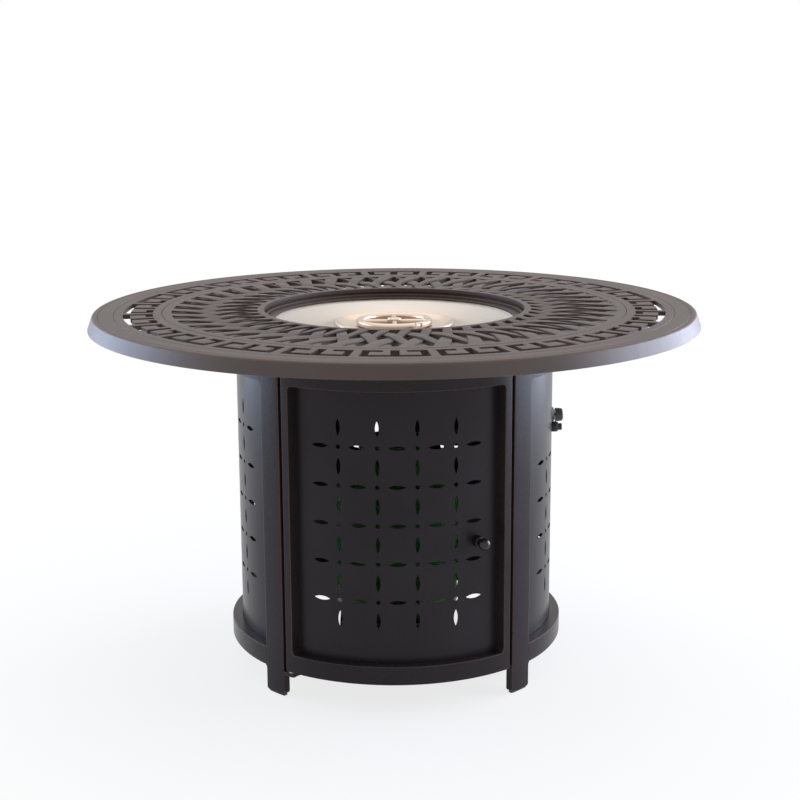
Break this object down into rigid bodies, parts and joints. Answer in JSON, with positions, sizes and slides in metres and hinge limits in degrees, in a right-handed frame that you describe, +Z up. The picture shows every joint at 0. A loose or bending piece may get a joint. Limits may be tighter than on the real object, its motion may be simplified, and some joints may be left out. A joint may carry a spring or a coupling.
{
  "type": "gas fire pit table",
  "caption": "Round gas fire pit table with a woven lattice top, Greek-key border, stainless burner bowl and a perforated cylinder cabinet with a hinged door and side controls.",
  "frame": {"origin": "floor level on the table's middle axis", "axes": "+Z up, the door faces -Y, the control knob and igniter are on the +X side"},
  "size_m": [1.2198, 1.22, 0.728],
  "materials": {
    "cast_top": "satin taupe powder coat",
    "bronze_frame": "semi-gloss dark bronze powder coat",
    "bronze_panel": "semi-gloss dark bronze powder coat",
    "stainless": "circular brushed",
    "zinc_steel": "zinc plated",
    "brass": "turned",
    "valve_alloy": "die cast",
    "ceramic": "glazed",
    "bronze_knob": "satin bronze",
    "black_plastic": "moulded",
    "green_paint": "gloss enamel"
  },
  "bodies": {
    "base": {"table_rim": "cast_top", "lattice_ring": "cast_top", "bowl_ledge": "cast_top", "support_arm_front_left": "bronze_frame", "support_arm_front_right": "bronze_frame", "support_arm_rear_right": "bronze_frame", "support_arm_rear_left": "bronze_frame", "leg_front_left": "bronze_frame", "leg_front_right": "bronze_frame", "leg_rear_right": "bronze_frame", "leg_rear_left": "bronze_frame", "bottom_rail_left": "bronze_frame", "bottom_rail_right": "bronze_frame", "bottom_rail_rear": "bronze_frame", "top_rail_left": "bronze_frame", "top_rail_right": "bronze_frame", "top_rail_rear": "bronze_frame", "pivot_bracket_lower": "bronze_frame", "pivot_bracket_upper": "bronze_frame", "panel_left": "bronze_panel", "panel_right": "bronze_panel", "panel_rear": "bronze_panel", "base_plate": "bronze_panel", "burner_pan": "stainless", "burner_dish": "stainless", "burner_ring": "stainless", "burner_inlet": "stainless", "electrode_bracket": "stainless", "thermocouple": "stainless", "heat_shield": "stainless", "supply_tube": "stainless", "burner_nut": "zinc_steel", "table_bolts": "zinc_steel", "pan_screws": "zinc_steel", "panel_screws": "zinc_steel", "pivot_pins": "zinc_steel", "orifice_fitting": "brass", "cylinder_valve": "brass", "valve_body": "valve_alloy", "ignition_electrode": "ceramic", "knob_bezel": "black_plastic", "igniter_housing": "black_plastic", "igniter_nut": "black_plastic", "foot_glides": "black_plastic", "pivot_washer": "black_plastic", "magnet_catch": "black_plastic", "cylinder_body": "green_paint", "cylinder_collar": "green_paint", "cylinder_foot_ring": "green_paint"},
    "door": {"door_frame": "bronze_frame", "door_panel": "bronze_panel", "door_knob": "bronze_knob", "door_knob_collar": "bronze_knob", "door_strike": "zinc_steel", "door_screws": "zinc_steel"},
    "knob_plunger": {"valve_plunger": "zinc_steel"},
    "knob": {"control_knob": "bronze_knob", "valve_stem": "zinc_steel"},
    "igniter": {"igniter_button": "black_plastic"},
    "handwheel": {"cylinder_handwheel": "black_plastic"}
  },
  "joints": [
    {"name": "door_swing", "type": "hinge", "parent": "base", "child": "door", "pos_m": [-0.2037, -0.26027, 0.355], "axis": [0, 0, -1], "range_deg": [0, 100]},
    {"name": "knob_push", "type": "slide", "parent": "base", "child": "knob_plunger", "axis": [-0.9986, -0.0523, 0], "range_m": [0, 0.003], "stiffness_N_per_m": 800},
    {"name": "knob_turn", "type": "hinge", "parent": "knob_plunger", "child": "knob", "pos_m": [0.31956, 0.01675, 0.498], "axis": [0.9986, 0.0523, 0], "range_deg": [0, 210]},
    {"name": "igniter_press", "type": "slide", "parent": "base", "child": "igniter", "axis": [-0.9969, 0.0785, 0], "range_m": [0, 0.005], "stiffness_N_per_m": 900},
    {"name": "handwheel_turn", "type": "hinge", "parent": "base", "child": "handwheel", "pos_m": [0, 0, 0.43], "axis": [0, 0, 1], "range_deg": [0, 540]}
  ]
}
